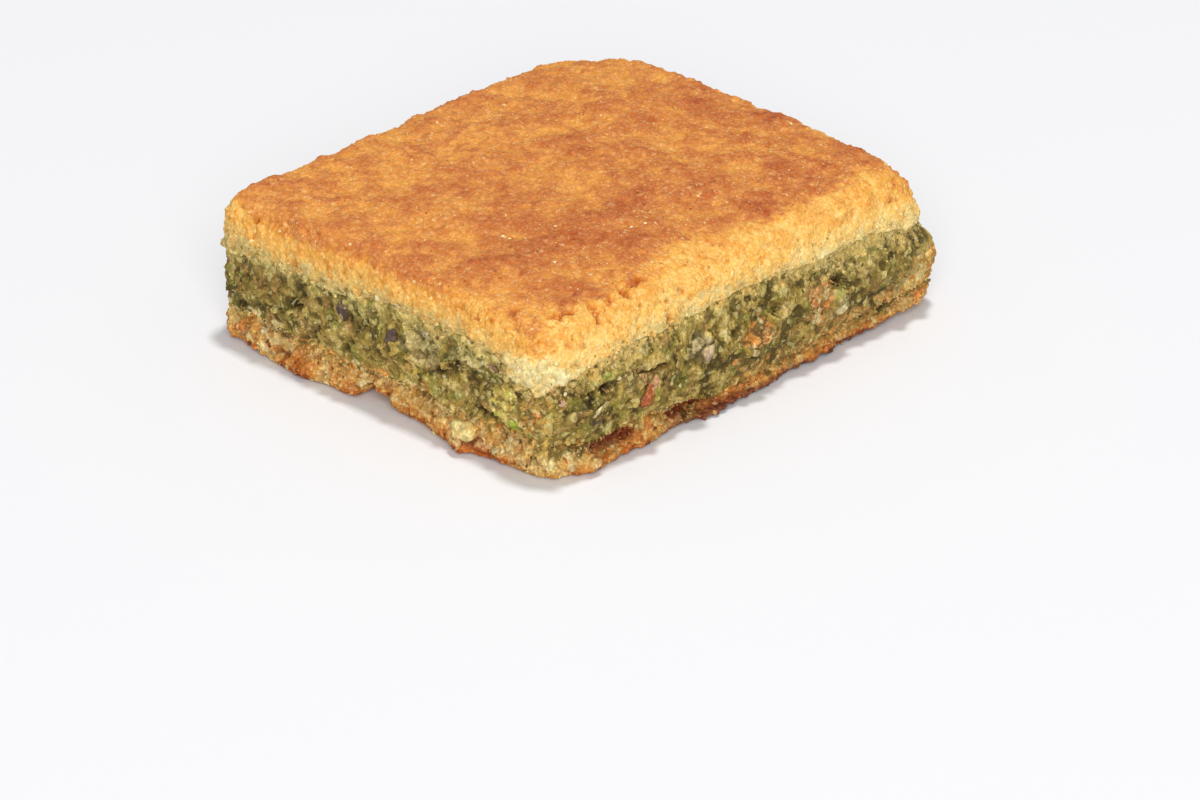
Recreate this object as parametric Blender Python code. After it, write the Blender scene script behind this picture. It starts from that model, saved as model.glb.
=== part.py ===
import random
from math import copysign, cos, exp, hypot, pi, radians, sin

import bmesh
import bpy
from mathutils import Euler, Matrix, Vector, noise

MM = 0.001

# Driving dimensions of the cut square. It stands on its base crust, X along its longer cut side.
LENGTH = 52 * MM
WIDTH = 45 * MM
HEIGHT = 15.8 * MM
BASE_TOP = 2.9 * MM
FILLING_TOP = 10.8 * MM
LAYER_GAP = 0.3 * MM
CELL = 1.5 * MM

# How round each upright corner is, by the signs of its X and Y
CORNER_RADIUS = {
    (-1, -1): 4.0 * MM,
    (-1, 1): 2.4 * MM,
    (1, -1): 3.6 * MM,
    (1, 1): 8.0 * MM,
}

# How far the top crust draws in above each cut side, by the sign of X or Y
SHOULDER_X = {-1: 1.7 * MM, 1: 1.8 * MM}
SHOULDER_Y = {-1: 3.8 * MM, 1: 1.8 * MM}
SHOULDER_FALLOFF = 3

# The seams between layers wander in the outer rings of cells and are level further in
LOWER_SEAM_RINGS = 1
UPPER_SEAM_RINGS = 2
UNDERSIDE_RINGS = 5
SIDE_RINGS = 3
LIFT_RINGS = 3
BASE_EDGE_LIFT = 0.1 * MM
CORNER_LIFT = 1.2 * MM

# It rests on a spot near each corner, a hair lower than the level underside between them
FOOT_DEPTH = 0.05 * MM
FOOT_SLOPE = 0.03

# The rim of the top face lies a little under its crest
RIM_DROP = 0.5 * MM
BACK_CORNER_DROP = 0.9 * MM

# Edges shorter than this are dropped where pieces join
FINEST_EDGE = 0.02 * MM

# Tiers of faces up each layer's cut side
BASE_TIERS = 4
FILLING_TIERS = 7
CRUST_TIERS = 6

HALF_X = LENGTH / 2
HALF_Y = WIDTH / 2
CELLS_X = round(LENGTH / CELL)
CELLS_Y = round(WIDTH / CELL)
FOOT_X = HALF_X - 4 * LENGTH / CELLS_X
FOOT_Y = HALF_Y - 4 * WIDTH / CELLS_Y

# The base crust's uneven places: middle along the side, half its width, and depth or height
BASE_NOTCH = (1.2 * MM, 1.4 * MM, 2.3 * MM)
BASE_BULGES = ((-10.2 * MM, 3.4 * MM, 1.1 * MM), (12.5 * MM, 6.0 * MM, 0.8 * MM))
BASE_LIP = (-5.0 * MM, 4.5 * MM, 0.8 * MM)
BASE_POCKETS = ((-17.8 * MM, 2.6 * MM, 1.4 * MM), (-7.6 * MM, 2.9 * MM, 1.6 * MM))

# Pieces of nut in the filling's cut sides: side, place along it, height, length, width and lean
NUT_PIECES = (
    ("-y", -13.6 * MM, 5.7 * MM, 2.7 * MM, 1.4 * MM, 20),
    ("-y", -6.8 * MM, 7.3 * MM, 1.9 * MM, 1.5 * MM, 0),
    ("-y", 0.4 * MM, 6.0 * MM, 2.4 * MM, 2.0 * MM, 60),
    ("-y", 11.4 * MM, 6.2 * MM, 3.0 * MM, 2.2 * MM, 75),
    ("-x", 4.6 * MM, 6.6 * MM, 2.0 * MM, 1.2 * MM, 10),
    ("-x", -1.7 * MM, 7.4 * MM, 1.7 * MM, 1.2 * MM, -15),
    ("+x", -9.0 * MM, 6.4 * MM, 2.4 * MM, 1.5 * MM, 40),
    ("+x", 7.5 * MM, 5.9 * MM, 2.0 * MM, 1.4 * MM, -25),
    ("+y", -12.0 * MM, 6.8 * MM, 2.5 * MM, 1.5 * MM, 15),
    ("+y", 6.0 * MM, 5.8 * MM, 2.1 * MM, 1.6 * MM, 70),
)
GRAINS_PER_SIDE = 16
GRAIN_SIZES = (1.1 * MM, 1.7 * MM)
GRAIN_SEED = 7

# Crumbs of pale dough stuck to the base crust's cut sides: side, place along it, height, size
BASE_CRUMBS = (
    ("-x", -11.1 * MM, 1.55 * MM, 2.2 * MM),
    ("-x", -15.4 * MM, 1.35 * MM, 1.7 * MM),
    ("-y", -21.6 * MM, 1.30 * MM, 1.8 * MM),
    ("+x", 3.0 * MM, 1.35 * MM, 1.7 * MM),
    ("+y", 9.0 * MM, 1.35 * MM, 1.8 * MM),
)


def smooth_step(value):
    value = max(0.0, min(1.0, value))
    return value * value * (3 - 2 * value)


def hump(distance, half_width):
    """1 in the middle, falling smoothly to nearly nothing two half-widths away."""
    return exp(-((distance / half_width) ** 2))


def wave(place, length, height, key=0.0):
    """A smooth, repeatable unevenness of the given wavelength and height."""
    return height * noise.noise(place / length + Vector((key, 2 * key, 3 * key)))


def sign(value):
    return -1 if value < 0 else 1


def round_corner(x, y):
    """Moves a point of the sharp block into its rounded plan, and gives the way out from it."""
    radius = CORNER_RADIUS[sign(x), sign(y)]
    past_x = abs(x) - (HALF_X - radius)
    past_y = abs(y) - (HALF_Y - radius)
    if past_x > 0 and past_y > 0:
        reach = hypot(past_x, past_y)
        shrink = max(past_x, past_y) / reach
        out = Vector((copysign(past_x, x), copysign(past_y, y), 0)) / reach
        x -= copysign(past_x * (1 - shrink), x)
        y -= copysign(past_y * (1 - shrink), y)
        return x, y, out
    if HALF_X - abs(x) < HALF_Y - abs(y):
        return x, y, Vector((sign(x), 0, 0))
    return x, y, Vector((0, sign(y), 0))


def rim_share(x, y, rings):
    """1 on the cut sides, 0 that many rings of cells further in."""
    inset = min(HALF_X - abs(x), HALF_Y - abs(y))
    return smooth_step(1 - inset / (rings * CELL))


def toward_corner(x, y, sign_x, sign_y):
    """1 at that corner of the plan, falling to 0 halfway along the sides that meet there."""
    return max(0.0, sign_x * x / HALF_X) * max(0.0, sign_y * y / HALF_Y)


def lower_seam(x, y):
    """Height where the base crust meets the filling: thick on the -X side, thin halfway along -Y."""
    place = Vector((x, y, 0))
    uneven = wave(place, 7 * MM, 0.5 * MM, 1.3) + wave(place, 3 * MM, 0.4 * MM, 4.1)
    thick = 0.6 * MM * max(0.0, -x / HALF_X) ** 4
    thin = 1.5 * MM * hump(x - 1 * MM, 9 * MM) * max(0.0, -y / HALF_Y) ** 4
    return BASE_TOP + (thick - thin + uneven) * rim_share(x, y, LOWER_SEAM_RINGS)


def upper_seam(x, y):
    """Height where the filling meets the top crust, with pale dough spilt down the front corner."""
    place = Vector((x, y, 0))
    uneven = wave(place, 9 * MM, 0.55 * MM, 7.7) + wave(place, 3.2 * MM, 0.25 * MM, 2.9)
    ends = 1.3 * MM * toward_corner(x, y, -1, 1) + 2.4 * MM * toward_corner(x, y, 1, -1) ** 2
    spill = 2.3 * MM * hump(hypot(x + HALF_X, y + HALF_Y - 3 * MM), 3.6 * MM)
    return FILLING_TOP + (0.3 * MM - ends - spill + uneven) * rim_share(x, y, UPPER_SEAM_RINGS)


def underside(x, y):
    """The base crust's lower face: level between four feet, its rim lifted, and one notch."""
    middle, half, height = BASE_NOTCH
    lift = BASE_EDGE_LIFT + abs(wave(Vector((x, y, 0)), 4 * MM, 0.4 * MM, 5.5))
    lift += CORNER_LIFT * toward_corner(x, y, 1, -1) ** 3
    lift += 0.4 * CORNER_LIFT * toward_corner(x, y, -1, 1) ** 4
    if x < 0:
        lift += height * hump(y - middle, half)
    from_foot = hypot(abs(x) - FOOT_X, abs(y) - FOOT_Y)
    return min(FOOT_DEPTH, FOOT_SLOPE * from_foot) + lift * rim_share(x, y, LIFT_RINGS)


def top_face(x, y):
    """The browned upper face: a low crest, sunken a little towards the rim, and gently uneven."""
    place = Vector((x, y, 0))
    rim = max(abs(x) / HALF_X, abs(y) / HALF_Y) ** 4
    uneven = wave(place, 9 * MM, 0.35 * MM, 3.3) + wave(place, 3.4 * MM, 0.22 * MM, 6.1)
    back = BACK_CORNER_DROP * toward_corner(x, y, 1, 1) ** 3
    dent = 0.25 * MM * hump(hypot(x + 3.3 * MM, y - HALF_Y), 2.0 * MM)
    return HEIGHT - 0.4 * MM - RIM_DROP * rim + uneven - back - dent


def knife_side(x, y, z):
    """How far a cut side stands out of its plane in every layer: a slow wave and fine crags."""
    slow = wave(Vector((x, y, z * 0.4)), 15 * MM, 0.7 * MM, 9.4)
    place = Vector((x, y, z))
    return slow + wave(place, 1.9 * MM, 0.4 * MM, 2.2) + wave(place, 4.5 * MM, 0.45 * MM, 5.9)


def base_side(x, y, z, share):
    """How far the base crust stands out further, with its broken pockets, bulges and lip."""
    out = 0.3 * MM * sin(pi * share) + 0.3 * MM * toward_corner(x, y, 1, -1) ** 3
    if x < -HALF_X * 0.8:
        for middle, half, depth in BASE_BULGES:
            out += depth * hump(y - middle, half)
    if y < -HALF_Y * 0.8 and share < 0.3:
        middle, half, depth = BASE_LIP
        out += depth * hump(x - middle, half)
    elif y < -HALF_Y * 0.8:
        for middle, half, depth in BASE_POCKETS:
            out -= depth * hump(x - middle, half)
    return out * (1 - share**4)


def filling_side(x, y, z, share):
    """How far the filling stands out further: most halfway up, and lower down on the -Y side."""
    corner = 1.0 * MM * toward_corner(x, y, 1, -1) ** 3
    crags = wave(Vector((x, y, z)), 1.4 * MM, 0.4 * MM, 6.6)
    low = 0.8 * MM * (1 - share) * max(0.0, -y / HALF_Y) ** 6
    return (0.4 * MM + corner + crags + low) * sin(pi * share)


def crust_side(x, y, z, share):
    """How far the top crust stands out further, with a lump where dough spills at the front corner."""
    spill = 0.7 * MM * hump(hypot(x + HALF_X, y + HALF_Y), 4.5 * MM)
    left = 0.9 * MM * toward_corner(x, y, -1, 1) ** 3
    return (0.1 * MM + spill + left) * (1 - share)


def sharp_block(tiers):
    """A block of small square cells, with its lowest face at 0 and its highest at 1."""
    block = bmesh.new()
    bmesh.ops.create_grid(block, x_segments=CELLS_X, y_segments=CELLS_Y, size=1)
    bmesh.ops.scale(block, verts=block.verts, vec=(HALF_X, HALF_Y, 1))
    upper = block.faces[:] + block.edges[:] + block.verts[:]
    for _ in range(tiers):
        upper = bmesh.ops.extrude_face_region(block, geom=upper)["geom"]
        raised = [part for part in upper if isinstance(part, bmesh.types.BMVert)]
        bmesh.ops.translate(block, verts=raised, vec=(0, 0, 1 / tiers))
    return block


def plain_middle(block, height, rings):
    """Makes one flat face of the level middle of the block's lowest (0) or highest (1) face."""
    inside_x = HALF_X - rings * CELL
    inside_y = HALF_Y - rings * CELL
    level = [
        face
        for face in block.faces
        if all(abs(vert.co.z - height) < 0.001 for vert in face.verts)
        and abs(face.calc_center_median().x) < inside_x
        and abs(face.calc_center_median().y) < inside_y
    ]
    bmesh.ops.dissolve_faces(block, faces=level, use_verts=True)


def shaped_point(layer, x, y, share):
    """Where a point of the sharp block lies in the real layer, and the way out from it."""
    bottom = layer["low"](x, y)
    top = layer["high"](x, y)
    shouldered = layer["shouldered"]
    z = bottom + (top - bottom) * (sin(share * pi / 2) if shouldered else share)
    round_x, round_y, out = round_corner(x, y)
    softer = 1 - 0.5 * share if shouldered else 1
    step = knife_side(x, y, z) * softer + layer["side"](x, y, z, share)
    place = Vector((round_x, round_y, z)) + out * step * rim_share(x, y, SIDE_RINGS)
    if shouldered:
        draw_in = (1 - cos(share * pi / 2)) * (1 - 0.5 * toward_corner(x, y, -1, 1) ** 2)
        near_x = (abs(x) / HALF_X) ** SHOULDER_FALLOFF * (1 + toward_corner(x, y, 1, -1) ** 2)
        near_y = (abs(y) / HALF_Y) ** SHOULDER_FALLOFF
        place.x -= sign(x) * SHOULDER_X[sign(x)] * near_x * draw_in
        place.y -= sign(y) * SHOULDER_Y[sign(y)] * near_y * draw_in
    return place, out


def shape_layer(block, layer):
    """Moves each point of a sharp block to its place in the real layer."""
    for vert in block.verts:
        vert.co = shaped_point(layer, *vert.co)[0]


def material(name, colour, roughness):
    made = bpy.data.materials.new(name)
    made.use_nodes = True
    shader = made.node_tree.nodes["Principled BSDF"]
    shader.inputs["Base Color"].default_value = (*colour, 1)
    shader.inputs["Roughness"].default_value = roughness
    shader.inputs["Metallic"].default_value = 0
    made.diffuse_color = (*colour, 1)
    return made


def finish(block, name, colour):
    """Turns the block into an object of that name with its own material."""
    bmesh.ops.recalc_face_normals(block, faces=block.faces)
    mesh = bpy.data.meshes.new(name)
    block.to_mesh(mesh)
    block.free()
    made = bpy.data.objects.new(name, mesh)
    bpy.context.scene.collection.objects.link(made)
    mesh.materials.append(material(name, colour, 0.85))
    mesh.shade_smooth()
    mesh.set_sharp_from_angle(angle=radians(45))
    return made


def on_side(layer, side, along, height):
    """The point of the layer's cut side at that place along it and that height, and the way out."""
    x = copysign(HALF_X, -1 if side[0] == "-" else 1) if side[1] == "x" else along
    y = along if side[1] == "x" else copysign(HALF_Y, -1 if side[0] == "-" else 1)
    bottom = layer["low"](x, y)
    top = layer["high"](x, y)
    return shaped_point(layer, x, y, (height - bottom) / (top - bottom))


def lump(helpers, place, size, lean, side, seed, detail=1):
    """A rough rounded piece, its flat way along the cut side that it shows in."""
    draw = random.Random(seed)
    shape = bmesh.new()
    bmesh.ops.create_icosphere(shape, subdivisions=detail, radius=0.5)
    for vert in shape.verts:
        vert.co *= draw.uniform(0.85, 1.12)
    turn = 0 if side[1] == "y" else pi / 2
    spin = Euler((0, radians(lean), turn)).to_matrix().to_4x4()
    stretch = Matrix.Diagonal((*size, 1))
    shape.transform(Matrix.Translation(place) @ spin @ stretch)
    mesh = bpy.data.meshes.new("piece")
    shape.to_mesh(mesh)
    shape.free()
    piece = bpy.data.objects.new("piece", mesh)
    helpers.objects.link(piece)


def fuse(target, helpers):
    """Joins all of the helper pieces to the target in one union, and clears them away."""
    union = target.modifiers.new("union", "BOOLEAN")
    union.operation = "UNION"
    union.operand_type = "COLLECTION"
    union.collection = helpers
    union.solver = "EXACT"
    with bpy.context.temp_override(object=target, active_object=target):
        bpy.ops.object.modifier_apply(modifier=union.name)
    for piece in list(helpers.objects):
        bpy.data.objects.remove(piece)
    bpy.data.collections.remove(helpers)
    joined = bmesh.new()
    joined.from_mesh(target.data)
    bmesh.ops.dissolve_degenerate(joined, dist=FINEST_EDGE, edges=joined.edges)
    joined.to_mesh(target.data)
    joined.free()


def new_collection(name):
    made = bpy.data.collections.new(name)
    bpy.context.scene.collection.children.link(made)
    return made


def base_crust():
    """The thin lower crust."""
    layer = {
        "low": underside,
        "high": lambda x, y: lower_seam(x, y) - LAYER_GAP / 2,
        "side": base_side,
        "shouldered": False,
    }
    block = sharp_block(BASE_TIERS)
    plain_middle(block, 0, UNDERSIDE_RINGS)
    plain_middle(block, 1, LOWER_SEAM_RINGS)
    shape_layer(block, layer)
    crust = finish(block, "base_crust", (0.62, 0.27, 0.07))
    crumbs = new_collection("crumbs")
    for index, (side, along, height, size) in enumerate(BASE_CRUMBS):
        place, out = on_side(layer, side, along, height)
        lump(crumbs, place + out * 0.05 * size, (size, size * 0.7, size * 0.8), 15, side, index)
    fuse(crust, crumbs)
    return crust


def pistachio_filling():
    """The thick middle layer of ground pistachio, with the larger bits that stand out of its sides."""
    layer = {
        "low": lambda x, y: lower_seam(x, y) + LAYER_GAP / 2,
        "high": lambda x, y: upper_seam(x, y) - LAYER_GAP / 2,
        "side": filling_side,
        "shouldered": False,
    }
    block = sharp_block(FILLING_TIERS)
    plain_middle(block, 0, LOWER_SEAM_RINGS)
    plain_middle(block, 1, UPPER_SEAM_RINGS)
    shape_layer(block, layer)
    filling = finish(block, "pistachio_filling", (0.13, 0.14, 0.03))
    bits = new_collection("bits")
    for index, (side, along, height, length, width, lean) in enumerate(NUT_PIECES):
        place, out = on_side(layer, side, along, height)
        lump(bits, place, (width, width, length), lean, side, 100 + index, detail=2)
    draw = random.Random(GRAIN_SEED)
    for side in ("-x", "+x", "-y", "+y"):
        half = (HALF_Y if side[1] == "x" else HALF_X) - 2 * MM
        for index in range(GRAINS_PER_SIDE):
            along = half * (2 * (index + draw.uniform(0.1, 0.9)) / GRAINS_PER_SIDE - 1)
            height = draw.uniform(BASE_TOP + 2.2 * MM, FILLING_TOP - 2.6 * MM)
            size = draw.uniform(*GRAIN_SIZES)
            place, out = on_side(layer, side, along, height)
            shape = (size, size * 0.9, size * 0.75)
            lump(bits, place + out * 0.1 * size, shape, draw.uniform(0, 180), side, index)
    fuse(filling, bits)
    return filling


def top_crust():
    """The thick upper crust, domed over, with rounded shoulders along its cut sides."""
    layer = {
        "low": lambda x, y: upper_seam(x, y) + LAYER_GAP / 2,
        "high": top_face,
        "side": crust_side,
        "shouldered": True,
    }
    block = sharp_block(CRUST_TIERS)
    plain_middle(block, 0, UPPER_SEAM_RINGS)
    shape_layer(block, layer)
    return finish(block, "top_crust", (0.70, 0.29, 0.07))


def centre_on_origin(layers):
    """Puts the middle of the whole piece's footprint on the origin and its lowest point at 0."""
    corners = [vert.co for layer in layers for vert in layer.data.vertices]
    low = Vector([min(corner[axis] for corner in corners) for axis in range(3)])
    high = Vector([max(corner[axis] for corner in corners) for axis in range(3)])
    middle = (low + high) / 2
    for layer in layers:
        layer.data.transform(Matrix.Translation((-middle.x, -middle.y, -low.z)))


def main():
    for old in list(bpy.data.objects):
        bpy.data.objects.remove(old)
    centre_on_origin([base_crust(), pistachio_filling(), top_crust()])


main()
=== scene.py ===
import math
import random

import bpy
import numpy as np
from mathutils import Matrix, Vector, noise
from mathutils.bvhtree import BVHTree
from mathutils.kdtree import KDTree


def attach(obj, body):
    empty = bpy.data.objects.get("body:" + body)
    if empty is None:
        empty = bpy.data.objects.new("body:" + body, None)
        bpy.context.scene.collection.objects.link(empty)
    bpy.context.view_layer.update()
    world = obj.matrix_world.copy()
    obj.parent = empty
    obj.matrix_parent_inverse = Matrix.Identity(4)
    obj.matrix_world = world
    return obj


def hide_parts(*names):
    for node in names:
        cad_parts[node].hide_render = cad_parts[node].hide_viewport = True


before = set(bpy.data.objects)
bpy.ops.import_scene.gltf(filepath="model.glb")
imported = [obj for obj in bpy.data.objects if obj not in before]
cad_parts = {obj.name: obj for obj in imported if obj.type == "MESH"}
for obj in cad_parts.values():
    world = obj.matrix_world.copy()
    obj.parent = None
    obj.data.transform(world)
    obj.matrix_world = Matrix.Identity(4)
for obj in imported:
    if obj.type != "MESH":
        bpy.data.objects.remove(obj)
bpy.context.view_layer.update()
mm = 0.001
scene = bpy.context.scene


# Selecting and applying, as by hand
def pickNone():
    bpy.ops.object.select_all(action="DESELECT")


def toMode(mode):
    bpy.ops.object.mode_set(mode=mode)


def pickOnly(piece):
    if bpy.context.object and bpy.context.object.mode != "OBJECT":
        toMode("OBJECT")
    pickNone()
    piece.select_set(True)
    bpy.context.view_layer.objects.active = piece


def applied(piece, kind, **settings):
    pickOnly(piece)
    modifier = piece.modifiers.new(kind.lower(), kind)
    for key, value in settings.items():
        setattr(modifier, key, value)
    bpy.ops.object.modifier_apply(modifier=modifier.name)


def readAll(items, key, width=1, kind=np.float32):
    values = np.empty(len(items) * width, kind)
    items.foreach_get(key, values)
    return values.reshape(-1, width) if width > 1 else values


def readPoints(piece):
    return readAll(piece.data.vertices, "co", 3).astype(float)


def readNormals(piece):
    return readAll(piece.data.vertices, "normal", 3).astype(float)


def writePoints(piece, points):
    piece.data.vertices.foreach_set("co", points.astype(np.float32).ravel())
    piece.data.update()


def fade(values, low, high):
    share = np.clip((values - low) / (high - low), 0, 1)
    return share * share * (3 - 2 * share)


def hump(distance, halfWidth):
    return np.exp(-((distance / halfWidth) ** 2))


# Unevenness at a list of points, all in millimetres. A key picks another part of the same noise
def shiftOf(key, second=2.3, third=3.7):
    return Vector((key, second * key, third * key))


def swell(points, size, key):
    shift = shiftOf(key)
    return np.array([noise.noise(Vector(point) / size + shift) for point in points])


def rough(points, size, key, octaves=4):
    shift = shiftOf(key)
    return np.array([noise.fractal(Vector(point) / size + shift, 0.7, 2.1, octaves) for point in points])


# How high each point lies on its cobble, and a chance that is the cobble's own
def cobbles(points, size, key):
    shift = shiftOf(key, 1.7, 2.9)
    height = np.empty(len(points))
    chance = np.empty(len(points))
    for index, point in enumerate(points):
        distances, centres = noise.voronoi(Vector(point) / size + shift)
        chance[index] = noise.cell(centres[0] * 7.31 + shift)
        height[index] = min(1.0, (distances[1] - distances[0]) * 1.8) * (0.5 + 0.5 * chance[index])
    return height, chance


# Shades are screen colours, 0 to 255, one for each point
def linear(shade):
    shade = np.clip(np.asarray(shade, float), 0, 255) / 255
    return np.where(shade <= 0.04045, shade / 12.92, ((shade + 0.055) / 1.055) ** 2.4)


def shades(tone, colours):
    places = [place for place, _ in colours]
    channels = np.array([colour for _, colour in colours], float).T
    return np.stack([np.interp(tone, places, channel) for channel in channels], axis=1)


def mixed(shade, other, share):
    share = np.clip(share, 0, 1)[:, None]
    return shade * (1 - share) + np.asarray(other, float) * share


# Darkens shades by a share towards a cast of red, green and blue: used for painted shade in hollow parts
# and cracks, and for dark specks
def deepened(shade, deep, cast):
    return shade * (1 - np.clip(deep, 0, 1)[:, None] * (1 - np.array(cast)))


def paint(piece, shade):
    colours = np.ones((len(shade), 4), np.float32)
    colours[:, :3] = linear(shade)
    layer = piece.data.attributes.new("shade", "FLOAT_COLOR", "POINT")
    layer.data.foreach_set("color", colours.ravel())


# The doughs from their palest to their darkest, and the nut paste from dark to pale
dough = (
    (0.00, (250, 231, 166)),
    (0.18, (248, 215, 136)),
    (0.38, (250, 198, 104)),
    (0.54, (242, 176, 82)),
    (0.68, (230, 158, 76)),
    (0.80, (208, 130, 66)),
    (0.91, (192, 108, 55)),
    (1.00, (160, 80, 38)),
)
nutPaste = (
    (0.00, (90, 75, 34)),
    (0.20, (132, 110, 49)),
    (0.40, (169, 141, 69)),
    (0.55, (189, 160, 84)),
    (0.70, (207, 179, 99)),
    (0.85, (218, 196, 122)),
    (1.00, (240, 222, 166)),
)
browned = (
    (0.00, (252, 228, 160)),
    (0.16, (244, 196, 108)),
    (0.36, (228, 162, 78)),
    (0.58, (208, 128, 54)),
    (0.80, (164, 86, 36)),
    (1.00, (104, 50, 26)),
)


# Selects the middle of a layer's upper or lower side: its level part, or all that is nearly flat
def pickMiddle(piece, facing, inset, level):
    flatness = 0.985 if level else 0.9
    sameLevel = 0.00004
    mesh = piece.data
    centres = readAll(mesh.polygons, "center", 3)
    normals = readAll(mesh.polygons, "normal", 3)
    points = readPoints(piece)
    low, high = points.min(0), points.max(0)
    inside = (centres[:, 0] > low[0] + inset) & (centres[:, 0] < high[0] - inset)
    inside &= (centres[:, 1] > low[1] + inset) & (centres[:, 1] < high[1] - inset)
    inside &= normals[:, 2] * facing > flatness
    if level:
        levels = centres[inside, 2]
        inside[inside] = np.abs(levels - np.median(levels)) < sameLevel
    mesh.polygons.foreach_set("select", inside)
    for parts in (mesh.edges, mesh.vertices):
        parts.foreach_set("select", np.zeros(len(parts), bool))
    pickOnly(piece)
    bpy.context.tool_settings.mesh_select_mode = (False, False, True)
    toMode("EDIT")


# The finer look of one layer: a merged copy of its solid, remeshed and softened, plainer where hidden
def layerLook(node, name, use):
    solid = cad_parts[node]
    piece = bpy.data.objects.new(name, solid.data.copy())
    scene.collection.objects.link(piece)
    piece.data.materials.clear()
    pickOnly(piece)
    toMode("EDIT")
    bpy.ops.mesh.select_all(action="SELECT")
    bpy.ops.mesh.remove_doubles(threshold=0.00001)
    toMode("OBJECT")
    applied(piece, "REMESH", mode="VOXEL", voxel_size=use["voxel"], use_smooth_shade=True)
    applied(piece, "SMOOTH", factor=0.5, iterations=use["softening"])
    for facing, inset, share in use["hiddenMiddles"]:
        pickMiddle(piece, facing, inset, share == 0)
        if share:
            bpy.ops.mesh.decimate(ratio=share)
        else:
            bpy.ops.mesh.dissolve_faces()
        toMode("OBJECT")
    return piece, readPoints(piece) / mm, readNormals(piece)


# How far inside the layer's outline each point lies
def insetOf(points):
    inset = np.minimum(points[:, 0] - points[:, 0].min(), points[:, 0].max() - points[:, 0])
    inset = np.minimum(inset, points[:, 1] - points[:, 1].min())
    return np.minimum(inset, points[:, 1].max() - points[:, 1])


# How high a layer's upper or lower hidden side lies at each point, read from a ring inside its outline
def capLevels(points, normals, facing):
    ringFrom, ringTo, unevenness, flatness = 1.6, 7, 2.4, 0.75
    inset = insetOf(points)
    cap = np.flatnonzero((normals[:, 2] * facing > flatness) & (inset > ringFrom) & (inset < ringTo))
    middle = np.median(points[cap, 2])
    cap = cap[np.abs(points[cap, 2] - middle) < unevenness]
    tree = KDTree(len(cap))
    for order, index in enumerate(cap):
        tree.insert((points[index, 0], points[index, 1], 0), order)
    tree.balance()
    nearest = [tree.find((x, y, 0))[1] for x, y, _ in points]
    return points[cap[nearest], 2]


# The two cut sides that face the camera: on them or not, and a soft share for the front one
def cutSides(x, y):
    return y < -19, x < -22


def frontShare(y):
    return fade(-y, 19.5, 21.5)


# Draws a layer's rim over the next layer, so that the seam is ragged and has no gap
def reachOver(points, levels, facing, reach, ragged, key):
    drawnDepth = 1.6
    away = np.clip((levels - points[:, 2]) * facing, 0, drawnDepth)
    rim = 1 - fade(insetOf(points), 1.3, 2.1)
    front = frontShare(points[:, 1])
    amount = reach * (1 - 0.5 * front) + ragged * (1 - 0.7 * front) * rim * rough(points, 1.3, key, 3)
    points[:, 2] += facing * amount * (1 - away / drawnDepth) ** 2


# On the front cut side the crust's crumbs hang down over the filling: place and height of their edge
frontSeam = (
    (-26.0, 10.4), (-22.6, 9.9), (-19.4, 9.8), (-16.8, 9.6), (-14.7, 10.0),
    (-12.5, 10.7), (-9.0, 11.0), (-4.4, 10.9), (0.0, 11.2), (3.0, 10.9),
    (5.7, 10.0), (10.5, 8.8), (14.8, 8.3), (20.0, 8.6), (24.0, 8.8),
)


def crustEdge(points, levels):
    front = frontShare(points[:, 1])
    return levels * (1 - front) + front * np.interp(points[:, 0], *zip(*frontSeam))


# Near the right end of the front cut side the filling runs into the base with no groove
def fillGroove(points):
    x, y, z = points.T.copy()
    deep = 0.55 * fade(x, 12, 15) + 0.3 * fade(x, 18, 23)
    points[:, 1] -= deep * fade(-y, 18.5, 21) * hump(z - 3.15, 0.6)


# Colours change along a ragged line this far past a layer's hidden side, with a noise key and a swing
seamOffset = 0.15
crustSeam = (3.9, 0.7)
baseSeam = (5.6, 0.6)


# Height above that line
def aboveSeam(points, levels, chance, key, swing):
    return points[:, 2] - levels + swing * (rough(points, 1.5, key, 3) + chance - 0.5)


# On the front cut side the filling's colour reaches lower, most near the front corner
def seamDrop(x, frontSide):
    return frontSide * (0.6 + 0.8 * fade(-x, 15, 18))


# Material, shading and body of a piece that is done
def finished(piece, material, slot, *nodes, smooth=True):
    piece.data.materials.append(material)
    pickOnly(piece)
    if smooth:
        bpy.ops.object.shade_smooth()
    else:
        bpy.ops.object.shade_flat()
    if nodes:
        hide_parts(*nodes)
    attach(piece, "root")
    piece.data.calc_loop_triangles()
    print("made", piece.name, len(piece.data.loop_triangles), "triangles")


def feed(tree, socket, value):
    if isinstance(value, bpy.types.NodeSocket):
        tree.links.new(value, socket)
    else:
        socket.default_value = value


def setInputs(node, values):
    for name, value in values.items():
        node.inputs[name].default_value = value


def addNode(tree, kind, settings=None, **inputs):
    node = tree.nodes.new(kind)
    for key, value in (settings or {}).items():
        setattr(node, key, value)
    for key, value in inputs.items():
        feed(tree, node.inputs[key], value)
    return node


def mathOf(tree, operation, first, second):
    node = addNode(tree, "ShaderNodeMath", {"operation": operation})
    feed(tree, node.inputs[0], first)
    feed(tree, node.inputs[1], second)
    return node.outputs[0]


def noiseOf(tree, place, size, detail, roughness):
    sizes = {"Scale": 1 / (size * mm), "Detail": detail, "Roughness": roughness}
    return addNode(tree, "ShaderNodeTexNoise", Vector=place, **sizes).outputs["Fac"]


def rangeOf(tree, value, low, high, newLow, newHigh):
    node = addNode(tree, "ShaderNodeMapRange", {"interpolation_type": "SMOOTHSTEP"}, Value=value)
    setInputs(node, {"From Min": low, "From Max": high, "To Min": newLow, "To Max": newHigh})
    return node.outputs[0]


# How deep light goes into the dough, and the shares of its red, green and blue
lightDepth = 0.8 * mm
lightShares = (1.0, 0.6, 0.3)
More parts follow.
